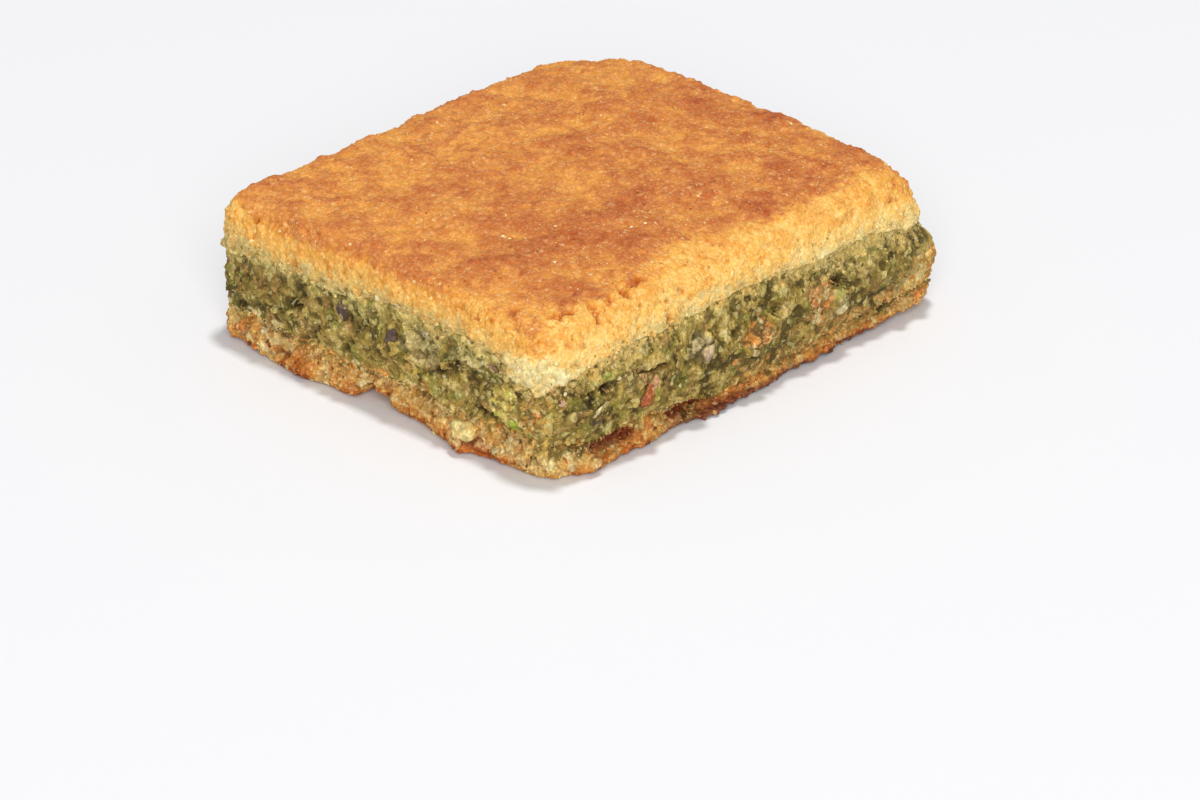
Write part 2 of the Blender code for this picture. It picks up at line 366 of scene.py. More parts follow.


# A crumbly material: the painted shade colours, with grains finer than the mesh in its tone and in its
# relief, and painted shade in the crevices between grains, darker, more saturated and a little more red
def crumblyMaterial(use):
    material = bpy.data.materials.new(use["name"])
    material.use_nodes = True
    tree = material.node_tree
    shader = tree.nodes["Principled BSDF"]
    setInputs(shader, {
        "Roughness": use["roughness"],
        "Specular IOR Level": use["gloss"],
        "Subsurface Weight": use["softness"],
        "Subsurface Scale": lightDepth,
        "Subsurface Radius": lightShares,
    })
    place = addNode(tree, "ShaderNodeTexCoord").outputs["Object"]
    shade = addNode(tree, "ShaderNodeAttribute", {"attribute_name": "shade"}).outputs["Color"]

    size, uneven = use["grainSize"], use["grainUneven"]
    wander = addNode(tree, "ShaderNodeTexNoise", Vector=place, Scale=1 / (1.3 * size * mm), Detail=2.0)
    bent = addNode(tree, "ShaderNodeVectorMath", {"operation": "MULTIPLY_ADD"})
    tree.links.new(wander.outputs["Color"], bent.inputs[0])
    bent.inputs[1].default_value = (uneven * mm, uneven * mm, uneven * mm)
    tree.links.new(place, bent.inputs[2])
    grain = addNode(tree, "ShaderNodeTexVoronoi", Vector=bent.outputs[0], Scale=1 / (size * mm))
    body = rangeOf(tree, grain.outputs["Distance"], 0.1, 0.75, 1.0, 0.0)
    chance = addNode(tree, "ShaderNodeSeparateColor", Color=grain.outputs["Color"]).outputs[0]

    size, amount = use["speckle"]
    speckle = rangeOf(tree, noiseOf(tree, place, size, 3.0, 0.6), 0.25, 0.75, 1 - amount, 1 + amount)
    grainTone = rangeOf(tree, chance, 0.0, 1.0, -use["grainTone"], use["grainTone"])
    value = mathOf(tree, "ADD", speckle, grainTone)
    # Painted shade: the crevices between grains are darker, more saturated and a little more red
    value = mathOf(tree, "ADD", value, rangeOf(tree, body, 0.0, 0.8, -use["creviceShade"], 0.0))
    richerInShade = rangeOf(tree, body, 0.0, 0.8, 1.03, 0.97)
    redderInShade = rangeOf(tree, body, 0.0, 0.8, 0.5 - use["creviceShadeHue"], 0.5)
    speckled = addNode(
        tree, "ShaderNodeHueSaturation", Color=shade, Value=value, Saturation=richerInShade, Hue=redderInShade
    )
    share, paleColour, most = use["paleGrains"]
    pale = rangeOf(tree, chance, 1 - share, 1 - 0.6 * share, 0.0, most)
    colour = addNode(tree, "ShaderNodeMixRGB", Fac=pale, Color1=speckled.outputs["Color"])
    colour.inputs["Color2"].default_value = (*linear(paleColour), 1)
    tree.links.new(colour.outputs["Color"], shader.inputs["Base Color"])

    size, finest = use["finest"]
    relief = mathOf(tree, "MULTIPLY", body, rangeOf(tree, chance, 0.0, 1.0, 0.55, 1.0))
    finestRelief = mathOf(tree, "MULTIPLY", noiseOf(tree, place, size, 4.0, 0.65), finest)
    relief = mathOf(tree, "ADD", relief, finestRelief)
    bump = addNode(tree, "ShaderNodeBump", Height=relief, Strength=use["bump"], Distance=use["relief"] * mm)
    tree.links.new(bump.outputs[0], shader.inputs["Normal"])
    return material


# Ends a layer, and keeps what the crumbs and bits on it need
def layerOf(piece, shade, levels, node, use):
    paint(piece, shade)
    material = crumblyMaterial(use["material"])
    finished(piece, material, node, node)
    return {"piece": piece, "slot": node, "shade": shade, "levels": levels, "material": material}


# Cracks and crevices, each from a start to an end, with its width and depth
def carve(first, second, cracks, uneven):
    depth = np.zeros(len(first))
    for start, end, width, most in cracks:
        run = np.array(end) - np.array(start)
        share = np.clip(((first - start[0]) * run[0] + (second - start[1]) * run[1]) / (run**2).sum(), 0, 1)
        away = np.hypot(first - start[0] - share * run[0], second - start[1] - share * run[1])
        depth += most * hump(away + 0.5 * uneven, width * (0.7 + 1.2 * share * (1 - share)))
    return depth


# Top crust: browned above, golden at the shoulders, pale next to the filling
topCrust = {
    "voxel": 0.21 * mm, "softening": 10, "reach": 0.4, "ragged": 0.5, "drawnIn": 0.3,
    "sideRough": 0.23, "sideCobbles": 0.17, "sidePits": 0.25, "sideSwell": 0.18, "topRough": 0.14,
    "topGrain": 0.13, "topSwell": 0.18, "thickness": 4.5,
    # below or above, how far inside the outline, and the share of faces kept, or 0 for one big face
    "hiddenMiddles": ((-1, 2.4 * mm, 0),),
    # place on the top, radius and how much browner
    "patches": (
        (-10.3, -9.2, 3.6, 0.10),
        (-1.8, -7.4, 2.0, 0.09),
        (-9.0, -3.5, 2.6, 0.06),
        (-18.0, 5.0, 6.0, -0.06),
        (-1.7, 0.8, 3.5, -0.09),
        (0.0, -13.0, 1.2, -0.14),
        (16.4, -18.6, 5.0, 0.06),
        (-21.4, 1.0, 5.0, -0.05),
    ),
    "cracks": (
        ((-13.9, -18.9), (-11.0, -18.5), 0.3, 0.6),
        ((-14.4, -19.9), (-13.8, -18.9), 0.25, 0.5),
        ((-10.9, -22.0), (-10.0, -22.3), 0.25, 0.5),
        ((-18.6, -20.4), (-18.0, -19.2), 0.3, 0.6),
        ((-16.5, -19.7), (-15.4, -18.7), 0.3, 0.5),
        ((-24.6, -15.4), (-23.4, -14.4), 0.4, 0.5),
        ((-22.6, -17.6), (-21.0, -18.4), 0.3, 0.6),
        ((-20.6, -18.6), (-19.6, -18.2), 0.25, 0.4),
    ),
    "cracksAbove": 11,
    # middle and half sizes of the lump of pale dough over the front corner
    "spill": ((-26.2, -19.6, 10.9), (2.4, 3.5, 1.9)),
    # colours next to the filling, how the painted shade in hollow parts and cracks dims red, green and
    # blue, and how the dark specks dim them
    "cream": (230, 206, 136),
    "greenish": (190, 172, 102),
    "hollowShade": (0.82, 0.62, 0.42),
    "specks": (0.84, 0.68, 0.46),
    "material": {
        "name": "bakedSemolina", "roughness": 0.7, "gloss": 0.25, "softness": 0.12,
        "grainSize": 0.38, "grainUneven": 0.35, "grainTone": 0.04, "creviceShade": 0.12,
        "creviceShadeHue": 0.005, "speckle": (0.7, 0.06), "paleGrains": (0.05, (250, 218, 154), 0.2),
        "finest": (0.2, 0.5), "relief": 0.14, "bump": 0.65,
    },
}


def makeTopCrust():
    use = topCrust
    piece, points, normals = layerLook("top_crust", "topCrustLook", use)
    levels = capLevels(points, normals, -1)
    up = normals[:, 2]
    x, y, z = points.T.copy()
    rise = (z - levels) / use["thickness"]
    top = fade(up, 0.80, 0.97)
    side = (1 - top) * (1 - fade(-up, 0.3, 0.8))
    fine = rough(points, 1.3, 1.3)
    crumb, crumbChance = cobbles(points, 0.7, 4.4)
    lump, lumpChance = cobbles(points, 2.1, 7.7)
    wide = swell(points, 3.2, 8.1)
    middle = swell(points, 6.0, 5.2)
    pits = fade(swell(points, 1.15, 6.6), 0.34, 0.55)
    middlePoint, halfSizes = use["spill"]
    spillAway = np.sqrt((((points - middlePoint) / halfSizes) ** 2).sum(1)) + 0.45 * fine
    spillAway += 0.2 * (lumpChance - 0.5)
    spill = 1 - fade(spillAway, 0.75, 1.15)
    move = use["sideRough"] * fine + use["sideCobbles"] * (crumb + lump - 1) - use["sidePits"] * pits
    move += use["sideSwell"] * wide
    front = frontShare(y)
    move += (0.35 + 0.45 * crumb) * spill + 0.15 * front * hump(z - levels, 1.6)
    move -= use["drawnIn"] * hump(z - levels, 0.9) * (1 - spill) * (1 - front)
    move *= side
    grain = rough(points, 0.6, 9.1, 2)
    move += side * 0.5 * use["topGrain"] * grain
    topSwell = use["topSwell"] * (wide + 0.6 * middle)
    move += top * (use["topRough"] * fine + use["topGrain"] * grain + topSwell)
    cracks = carve(x, y, use["cracks"], fine) * (z > use["cracksAbove"])
    move -= cracks
    points += normals * move[:, None]
    reachOver(points, levels, -1, use["reach"], use["ragged"], crustSeam[0])
    writePoints(piece, points * mm)

    uneven = 1.2 * rough(points, 1.1, 2.2, 4) + 0.8 * wide
    frontCorner = hump(np.hypot(x + 26, y + 22), 5.5)
    leftCorner = hump(np.hypot(x + 26, y - 23), 4.5)
    brown = fade(y + 22.5 + uneven - 1.8 * hump(x + 3, 6), 2.5, 5.3)
    brown *= fade(26 - x + uneven, 0.4, 2.6)
    nearFront = fade(-y, 6, 12) * (x < 0)
    browning = rise + 0.06 * uneven - 0.14 * nearFront - 0.12 * frontCorner - 0.25 * leftCorner
    brown *= fade(browning, 0.58, 0.78)
    tone = 0.17 + 0.12 * fade(rise, 0.0, 0.2) + 0.14 * fade(rise, 0.2, 0.5) + 0.06 * fade(rise, 0.5, 0.8)
    leftSide = fade(-x, 24.0, 25.5) * fade(rise, 0.04, 0.3)
    leftSide *= 1 - 0.6 * frontCorner
    leftSide *= 1 - 0.9 * leftCorner
    tone += 0.10 * leftSide + 0.18 * fade(x, 17, 24) * fade(rise, 0.3, 0.6)
    tone += 0.10 * wide + 0.12 * fine + 0.10 * (crumbChance - 0.5)
    topTone = 0.80 + 0.07 * middle + 0.10 * wide + 0.11 * fine + 0.04 * (crumbChance - 0.5) - 0.03 * grain
    topTone -= 0.05 * fade(y, 4, 15)
    for patchX, patchY, radius, browner in use["patches"]:
        topTone += browner * hump(np.hypot(x - patchX, y - patchY), radius)
    tone = tone * (1 - brown) + topTone * brown
    tone = tone * (1 - 0.9 * spill) + 0.12 * spill * crumbChance
    shade = shades(tone, dough)
    # Painted shade: darker in the cracks and in the hollow parts of the surface
    shade = deepened(shade, 1.1 * cracks + fade(-move, 0.15, 0.7), use["hollowShade"])
    specks = fade(swell(points, 0.42, 4.7), 0.38, 0.6) * (1 - brown) * (0.4 + 0.6 * fade(-x, -4, 10))
    shade = deepened(shade, 0.7 * specks, use["specks"])
    edge = np.minimum(levels - seamOffset, crustEdge(points, levels))
    seam = aboveSeam(points, edge, crumbChance, *crustSeam)
    onLeft = fade(-x, 22, 25)
    creamy = (0.3 + 0.3 * onLeft) * (1 - fade(seam, 0.0, 1.1 - 0.3 * onLeft))
    shade = mixed(shade, use["cream"], creamy * (1 - spill))
    frayed = seam + 1.8 * swell(points, 0.6, 2.9)
    greener = (1 - fade(frayed, 0.0, 0.9)) * (0.2 + 0.5 * (swell(points, 0.4, 8.8) > 0.12))
    shade = mixed(shade, use["greenish"], greener * (1 - 0.1 * onLeft) * (1 - spill))
    return layerOf(piece, shade, levels, "top_crust", use)


# Filling: coarse green nut paste
filling = {
    "voxel": 0.18 * mm, "softening": 8, "reach": 0.3, "ragged": 0.35, "lowReach": 0.3,
    "lowRagged": 0.3, "pushedOut": 0.3, "rough": 0.22, "crumbs": 0.18, "lumps": 0.14, "pits": 0.35,
    "hiddenMiddles": ((-1, 2.2 * mm, 0.05), (1, 2.2 * mm, 0)),
    "frontCrevices": (
        ((-23.1, 8.2), (-19.6, 8.4), 0.28, 1.0),
        ((-16.6, 9.1), (-14.3, 7.9), 0.22, 0.7),
        ((-14.3, 7.9), (-11.6, 7.8), 0.30, 1.1),
        ((9.0, 8.5), (13.3, 7.5), 0.26, 0.8),
        ((2.3, 8.4), (3.3, 8.4), 0.3, 0.7),
    ),
    # crumbly places: side, middle along it and height, half length and half height, colour
    "stains": (
        ("-y", 0.1, 6.4, 1.7, 1.6, (220, 148, 76)),
        ("-y", 9.0, 6.8, 1.8, 2.0, (220, 154, 94)),
        ("-y", 11.8, 5.4, 1.2, 1.1, (216, 196, 140)),
        ("-y", -16.2, 7.9, 2.0, 1.1, (184, 152, 92)),
        ("-y", -6.9, 7.5, 1.5, 1.4, (204, 184, 136)),
        ("-y", 1.5, 2.6, 3.5, 1.0, (196, 148, 76)),
        ("-y", 12.0, 3.0, 5.0, 1.3, (202, 152, 82)),
        ("-y", 18.5, 3.2, 3.0, 1.0, (206, 154, 84)),
        ("-y", -24.6, 9.4, 1.6, 1.0, (186, 146, 82)),
        ("-x", -15.4, 6.6, 2.3, 1.6, (246, 214, 116)),
        ("-x", -19.2, 6.6, 1.5, 2.0, (226, 178, 90)),
        ("-x", -20.4, 3.6, 1.5, 1.2, (210, 174, 88)),
        ("-x", -11.0, 9.4, 3.0, 1.0, (220, 202, 128)),
        ("-x", -5.0, 8.6, 3.0, 1.8, (222, 202, 138)),
        ("-x", 3.0, 9.6, 4.0, 0.8, (178, 162, 92)),
    ),
    "leftCrevices": (
        ((12.4, 7.6), (11.0, 7.4), 0.45, 0.8),
        ((7.0, 10.3), (5.2, 10.1), 0.3, 0.7),
        ((-3.2, 9.6), (-4.6, 9.2), 0.3, 0.6),
        ((-9.4, 8.3), (-10.9, 7.6), 0.3, 0.7),
        ((-12.9, 5.4), (-14.2, 4.6), 0.35, 0.7),
    ),
    # colours of nut patches and of the crumbly edge below the crust
    "greenNut": (146, 148, 62),
    "brownNut": (182, 136, 82),
    "paleEdge": (206, 190, 116),
    "crumblyEdge": (232, 206, 126),
    "mutedDough": (212, 190, 118),
    # how the painted shade in hollow parts dims red, green and blue
    "hollowShade": (0.58, 0.53, 0.42),
    "material": {
        "name": "pistachioPaste", "roughness": 0.7, "gloss": 0.2, "softness": 0.05,
        "grainSize": 0.44, "grainUneven": 0.5, "grainTone": 0.12, "creviceShade": 0.24,
        "creviceShadeHue": 0.0, "speckle": (0.8, 0.12), "paleGrains": (0.12, (220, 204, 138), 0.5),
        "finest": (0.22, 0.6), "relief": 0.2, "bump": 0.8,
    },
}


def makeFilling():
    use = filling
    piece, points, normals = layerLook("pistachio_filling", "pistachioFillingLook", use)
    upper = capLevels(points, normals, 1)
    lower = capLevels(points, normals, -1)
    up = normals[:, 2]
    x, y, z = points.T.copy()
    side = 1 - fade(up, 0.5, 0.9) * (z > 8.5) - fade(-up, 0.5, 0.9) * (z < 4.0)
    fine = rough(points, 1.2, 2.6)
    crumb, crumbChance = cobbles(points, 0.7, 2.1)
    lump, lumpChance = cobbles(points, 2.2, 7.4)
    wide = swell(points, 3.2, 1.1)
    pits = fade(swell(points, 1.1, 9.6), 0.3, 0.55)
    move = use["rough"] * fine + use["crumbs"] * (crumb - 0.5) + use["lumps"] * (lump - 0.5)
    move -= use["pits"] * pits
    move *= 0.75 + 0.25 * fade(-x, 20, 24)
    move += 0.15 * wide
    frontSide, leftSide = cutSides(x, y)
    crevices = carve(x, z, use["frontCrevices"], fine) * frontSide
    crevices += carve(y, z, use["leftCrevices"], fine) * leftSide
    edge = crustEdge(points, upper)
    front = frontShare(y)
    move += use["pushedOut"] * hump(z - upper, 0.9) * (1 - front) - crevices
    move -= 0.15 * front * fade(z - edge, -0.7, 0.3)
    rightEnd = hump(np.hypot(x - 27, y + 23), 4.0)
    move += 0.6 * rightEnd * hump(z - 3.8, 1.3)
    move *= side
    points += normals * move[:, None]
    reachOver(points, upper, 1, use["reach"], use["ragged"], 4.6)
    reachOver(points, lower, -1, use["lowReach"], use["lowRagged"], baseSeam[0])
    fillGroove(points)
    writePoints(piece, points * mm)

    tone = 0.53 + 0.30 * (crumbChance - 0.5) + 0.16 * (lumpChance - 0.5) + 0.42 * wide + 0.24 * fine
    shade = shades(tone, nutPaste)
    shade = mixed(shade, use["greenNut"], 0.45 * fade(swell(points, 1.4, 6.3), 0.12, 0.45))
    shade = mixed(shade, use["brownNut"], 0.5 * fade(swell(points, 1.7, 3.3), 0.16, 0.42))
    # Painted shade: darker in the hollow parts of the surface
    shade = deepened(shade, fade(-move, 0.15, 0.9), use["hollowShade"])
    lit = 0.22 * hump(np.hypot(y + 4.0, z - 8.5), 4.0) * leftSide - 0.14 * fade(x, 10, 18) * frontSide
    shade = shade * (1 + lit - 0.05 * fade(y, 4, 10) * leftSide)[:, None]
    seam = aboveSeam(points, np.minimum(upper + seamOffset, edge), crumbChance, *crustSeam)
    shade = mixed(shade, use["paleEdge"], (0.3 + 0.15 * fade(-x, 22, 25)) * fade(seam, -1.8, -0.2))
    frayed = seam + 1.8 * swell(points, 0.6, 2.9)
    crumbly = fade(frayed, -1.0, 0.1) * (0.3 + 0.5 * (swell(points, 0.4, 8.8) > 0.05))
    shade = mixed(shade, use["crumblyEdge"], crumbly * (1 - 0.5 * front * fade(x, 6, 14)))
    pale = shades(0.12 + 0.16 * crumbChance + 0.1 * front, dough)
    pale = mixed(pale, use["mutedDough"], 0.5 * front * fade(x, 2, 8))
    shade = mixed(shade, pale, 0.85 * fade(seam, -0.35, 0.35))
    for facing, along, height, halfLong, halfTall, colour in use["stains"]:
        place, onSide = (y, leftSide) if facing == "-x" else (x, frontSide)
        near = np.hypot((place - along) / halfLong, (z - height) / halfTall) + 0.4 * fine
        patchy = (1 - fade(near, 0.7, 1.2)) * onSide * (0.7 + 0.3 * crumbChance)
        shade = mixed(shade, np.array(colour) * (0.86 + 0.26 * crumbChance[:, None]), patchy)
    lowSeam = aboveSeam(points, lower - seamOffset, crumbChance, *baseSeam) + seamDrop(x, frontSide)
    shade = mixed(shade, shades(0.24 + 0.4 * lumpChance, browned), 1 - fade(lowSeam, -0.2, 0.4))
    golden = fade(x - z + 1.5 * wide, 14.3, 17.3) * fade(-y + 1.5 * wide, 14, 20)
    golden *= 1 - fade(z + wide, 6.6, 8.2)
    shade = mixed(shade, shades(0.14 + 0.3 * crumbChance, browned), 0.85 * golden)
    layer = layerOf(piece, shade, np.minimum(upper, edge), "pistachio_filling", use)
    return {**layer, "lowLevels": lower}


# Base crust: thin, ragged, golden brown
baseCrust = {
    "voxel": 0.18 * mm, "softening": 6, "reach": 0.3, "ragged": 0.45, "rough": 0.3, "cobbles": 0.28,
    "pits": 0.4,
    "hiddenMiddles": ((1, 2.4 * mm, 0), (-1, 1.5 * mm, 0.35)),
    # broken strips along the front cut side, from and to, with width and depth
    "pockets": (
        ((-20.9, 2.5), (-16.2, 2.1), 0.75, 0.5),
        ((-10.6, 1.7), (-7.4, 1.9), 0.8, 0.5),
        ((-7.4, 1.9), (-4.8, 1.6), 0.4, 0.4),
    ),
    # middle along the left cut side, its height, half width and how pale
    "palePlaces": ((-11.2, 2.2, 1.9, 0.7), (-15.6, 1.9, 1.6, 0.5), (16.0, 2.4, 1.6, 0.4)),
    "orange": (214, 126, 52),
    "burnt": (190, 88, 34),
    "leftRim": (204, 166, 92),
    "frontRim": (186, 146, 76),
    # dark foot along the front: partly browned dough, partly painted shade of the contact below
    "footBrownAndShade": (124, 70, 52),
    "pocket": (126, 56, 24),
    # how the painted shade in hollow parts dims red, green and blue
    "hollowShade": (0.66, 0.52, 0.42),
    "material": {
        "name": "brownedBase", "roughness": 0.7, "gloss": 0.25, "softness": 0.08, "grainSize": 0.46,
        "grainUneven": 0.45, "grainTone": 0.10, "creviceShade": 0.24, "creviceShadeHue": 0.005,
        "speckle": (0.8, 0.10), "paleGrains": (0.08, (246, 206, 132), 0.5), "finest": (0.22, 0.6),
        "relief": 0.2, "bump": 0.8,
    },
}


def makeBaseCrust():
    use = baseCrust
    piece, points, normals = layerLook("base_crust", "baseCrustLook", use)
    levels = capLevels(points, normals, 1)
    up = normals[:, 2]
    x, y, z = points.T.copy()
    lowest = -0.01
    side = 1 - fade(up, 0.5, 0.9) - fade(-up, 0.85, 1.0)
    fine = rough(points, 1.1, 3.7)
    crumb, crumbChance = cobbles(points, 0.65, 3.1)
    lump, lumpChance = cobbles(points, 1.7, 5.9)
    wide = swell(points, 2.4, 6.1)
    pits = fade(swell(points, 1.0, 2.6), 0.3, 0.55)
    move = use["rough"] * fine + use["cobbles"] * (crumb + lump - 1) - use["pits"] * pits + 0.15 * wide
    move += 0.45 * hump(np.hypot(x - 26, y + 22), 3.5) * fade(z, 0.8, 1.8)
    frontSide, leftSide = cutSides(x, y)
    roundFront, roundLeft = y < -17, x < -20
    broken = carve(x, z, use["pockets"], 0.4 * fine)
    move += 0.2 * frontSide * fade(x, 8, 16) * hump(z - 2.2, 0.9)
    move += 0.25 * frontSide * (1 - fade(z, 2.4, 3.4)) - broken * frontSide
    move *= side
    points += normals * move[:, None]
    reachOver(points, levels, 1, use["reach"], use["ragged"], 6.3)
    points[:, 2] = np.maximum(points[:, 2], lowest)
    fillGroove(points)
    writePoints(piece, points * mm)

    tone = 0.42 + 0.3 * wide + 0.22 * (lumpChance - 0.5) + 0.24 * (crumbChance - 0.5) + 0.16 * fine
    tone += 0.26 * hump(x - 2, 18) * roundFront + 0.36 * (1 - fade(z, 0.2, 1.5))
    tone -= 0.25 * hump(np.hypot(x - 26, y + 22), 5.0) + 0.05 * leftSide
    pale = hump(np.hypot(x + 25.5, y + 21.0), 3.6)
    for along, height, size, paler in use["palePlaces"]:
        pale = np.maximum(pale, paler * hump(np.hypot(y - along, z - height), size) * roundLeft)
    tone = tone * (1 - 0.75 * pale) + (0.06 + 0.12 * crumbChance) * pale
    shade = shades(tone, browned)
    orange = fade(swell(points, 1.9, 4.9), 0.1, 0.4)
    shade = mixed(shade, use["orange"], 0.45 * orange * (1 - pale))
    shade = mixed(shade, use["leftRim"], 0.4 * leftSide * fade(z, 1.6, 2.8) * (1 - pale))
    burnt = hump(y + 13.5, 3.5) * hump(z - 0.7, 0.7) * roundLeft
    shade = mixed(shade, use["burnt"], 0.7 * burnt)
    # Painted shade: darker in the hollow parts of the surface
    shade = deepened(shade, fade(-move, 0.12, 0.7), use["hollowShade"])
    alongFront = frontSide * fade(x, -16, -6)
    shade = mixed(shade, use["frontRim"], 0.6 * alongFront * fade(z, 0.8, 2.0))
    # A dark foot along the front: partly browned dough, partly painted shade of the contact below
    shade = mixed(shade, use["footBrownAndShade"], 0.7 * alongFront * (1 - fade(z, 0.5, 1.2)))
    seam = aboveSeam(points, levels + seamOffset, crumbChance, *baseSeam) + seamDrop(x, frontSide)
    shade = mixed(shade, shades(0.45 + 0.4 * (lumpChance - 0.5), nutPaste), fade(seam, -0.4, 0.2))
    pockets = np.clip(2.6 * broken, 0, 1) * roundFront
    shade = mixed(shade, use["pocket"], 0.92 * pockets)
    return layerOf(piece, shade, levels, "base_crust", use)


# What all loose crumbs and grains have in common
crumbForm = {
    "shapes": 8,
    "unevenness": 0.3,
    "flatness": (0.5, 1.0),
    # how close two may lie, as a share of their half sizes, and the places tried for each
    "spacing": 0.6,
    "tries": 8,
    # larger faces, in square millimetres, are hidden ones
    "largestFace": 0.5,
}


def crumbShapes():
    unevenness = crumbForm["unevenness"]
    shapes = []
    for seed in range(crumbForm["shapes"]):
        pickNone()
        bpy.ops.mesh.primitive_ico_sphere_add(subdivisions=1, radius=0.5)
        shape = bpy.context.object
        draw = random.Random(seed)
        for vertex in shape.data.vertices:
            vertex.co *= draw.uniform(1 - unevenness, 1 + unevenness)
        faces = np.array([list(polygon.vertices) for polygon in shape.data.polygons])
        shapes.append((readPoints(shape), faces))
        bpy.data.objects.remove(shape)
    return shapes


def skinOf(piece):
    faces = piece.data.polygons
    corners = readAll(piece.data.loops, "vertex_index", kind=np.int32)
    return {
        "spots": readAll(faces, "center", 3).astype(float) / mm,
        "out": readAll(faces, "normal", 3).astype(float),
        "areas": readAll(faces, "area").astype(float) / mm**2,
        "vertex": corners[readAll(faces, "loop_start", kind=np.int32)],
    }


# Largest first, each kept clear of the ones already there
def strew(spots, weights, sizes, seed):
    draw = np.random.default_rng(seed)
    tries, spacing = len(sizes) * crumbForm["tries"], crumbForm["spacing"]
    order = iter(draw.choice(len(spots), size=tries, p=weights / weights.sum()))
    taken = {}
    chosen = []
    for size in sorted(sizes, reverse=True):
        for index in order:
            spot = spots[index]
            cell = tuple(np.floor(spot).astype(int))
            near = [
                other
                for dx in (-1, 0, 1)
                for dy in (-1, 0, 1)
                for dz in (-1, 0, 1)
                for other in taken.get((cell[0] + dx, cell[1] + dy, cell[2] + dz), ())
            ]
            if all(math.dist(spot, where) > spacing * 0.5 * (size + big) for where, big in near):
                taken.setdefault(cell, []).append((tuple(spot), size))
                chosen.append((index, size))
                break
    return np.array([index for index, _ in chosen]), np.array([size for _, size in chosen])


def randomTurn(draw):
    matrix = np.linalg.qr(draw.normal(size=(3, 3)))[0]
    return matrix if np.linalg.det(matrix) > 0 else -matrix


def joinedCrumbs(name, spots, sizes, shade, seed):
    shapes, flatness = crumbShapes(), crumbForm["flatness"]
    draw = np.random.default_rng(seed)
    points, faces, counts = [], [], []
    start = 0
    for spot, size in zip(spots, sizes):
        shape, shapeFaces = shapes[draw.integers(len(shapes))]
        stretch = np.array([1, draw.uniform(*flatness), draw.uniform(*flatness)]) * size
        points.append((shape * stretch) @ randomTurn(draw).T + spot)
        faces.append(shapeFaces + start)
        counts.append(len(shape))
        start += len(shape)
    mesh = bpy.data.meshes.new(name)
    mesh.from_pydata((np.concatenate(points) * mm).tolist(), [], np.concatenate(faces).tolist())
    piece = bpy.data.objects.new(name, mesh)
    scene.collection.objects.link(piece)
    paint(piece, np.repeat(shade, counts, axis=0))
    return piece


def crumbsOn(layer, name, use, where):
    skin = skinOf(layer["piece"])
    draw = np.random.default_rng(use["seed"])
    small, large = use["sizes"]
    sizes = small + (large - small) * draw.random(use["count"]) ** use["fewLarge"]
    above = skin["spots"][:, 2] - layer["levels"][skin["vertex"]]
    weights = where(skin["spots"], skin["out"][:, 2], above) * skin["areas"]
    weights = weights * (skin["areas"] < crumbForm["largestFace"])
    index, sizes = strew(skin["spots"], weights, sizes, use["seed"])
    spots = skin["spots"][index] - skin["out"][index] * (use["sink"] * sizes)[:, None]
    own = layer["shade"][skin["vertex"][index]] * draw.normal(1.0, use["spread"], len(index))[:, None]
    kinds = np.array([colour for colour, _ in use["kinds"]] + [(0, 0, 0)], float)
    shares = [share for _, share in use["kinds"]]
    kind = draw.choice(len(kinds), len(index), p=shares + [1 - sum(shares)])
    strange = (kind < len(shares)) * draw.uniform(0.55, 1.0, len(index))
    piece = joinedCrumbs(name, spots, sizes, mixed(own, kinds[kind], strange), use["seed"] + 1)
    finished(piece, layer["material"], layer["slot"], smooth=False)


# Crumbs take their colour from the skin below, but for these shares in other colours
nutGrains = {
    "count": 8500, "sizes": (0.22, 0.85), "fewLarge": 4.0, "sink": 0.24, "spread": 0.10, "seed": 12,
    "kinds": (
        ((204, 184, 108), 0.09),
        ((226, 208, 148), 0.02),
        ((156, 152, 66), 0.08),
        ((104, 88, 48), 0.10),
        ((190, 142, 86), 0.06),
    ),
}
crustCrumbs = {
    "count": 9000, "sizes": (0.2, 0.6), "fewLarge": 3.0, "sink": 0.24, "spread": 0.04, "seed": 22,
    "kinds": (((250, 226, 158), 0.08), ((228, 156, 72), 0.06)),
}
topGrains = {
    "count": 7000, "sizes": (0.16, 0.42), "fewLarge": 3.0, "sink": 0.24, "spread": 0.05, "seed": 42,
    "kinds": (((248, 212, 150), 0.15), ((180, 96, 46), 0.11)),
}
baseCrumbs = {
    "count": 3600, "sizes": (0.24, 0.8), "fewLarge": 3.0, "sink": 0.22, "spread": 0.08, "seed": 32,
    "kinds": (((240, 200, 124), 0.12), ((206, 122, 52), 0.14), ((130, 70, 34), 0.06)),
}
seamCrumbs = {
    "count": 1200, "sizes": (0.26, 0.7), "fewLarge": 2.5, "sink": 0.18, "spread": 0.05, "seed": 52,
    "kinds": (
        ((238, 208, 136), 0.25),
        ((222, 186, 108), 0.2),
        ((176, 152, 84), 0.2),
        ((110, 94, 50), 0.15),
    ),
}
edgeCrumbs = {
    "count": 2400, "sizes": (0.22, 0.6), "fewLarge": 2.5, "sink": 0.16, "spread": 0.05, "seed": 62,
    "kinds": (((250, 226, 156), 0.2), ((196, 174, 100), 0.2), ((150, 128, 66), 0.12)),
}
lipCrumbs = {
    "count": 1500, "sizes": (0.24, 0.65), "fewLarge": 2.5, "sink": 0.06, "spread": 0.08, "seed": 82,
    "kinds": (((224, 188, 112), 0.15), ((196, 134, 68), 0.12), ((132, 112, 58), 0.12)),
}
rimCrumbs = {
    "count": 1900, "sizes": (0.24, 0.65), "fewLarge": 2.5, "sink": 0.12, "spread": 0.08, "seed": 72,
    "kinds": (((232, 192, 116), 0.14), ((200, 130, 62), 0.14), ((132, 112, 58), 0.12)),
}

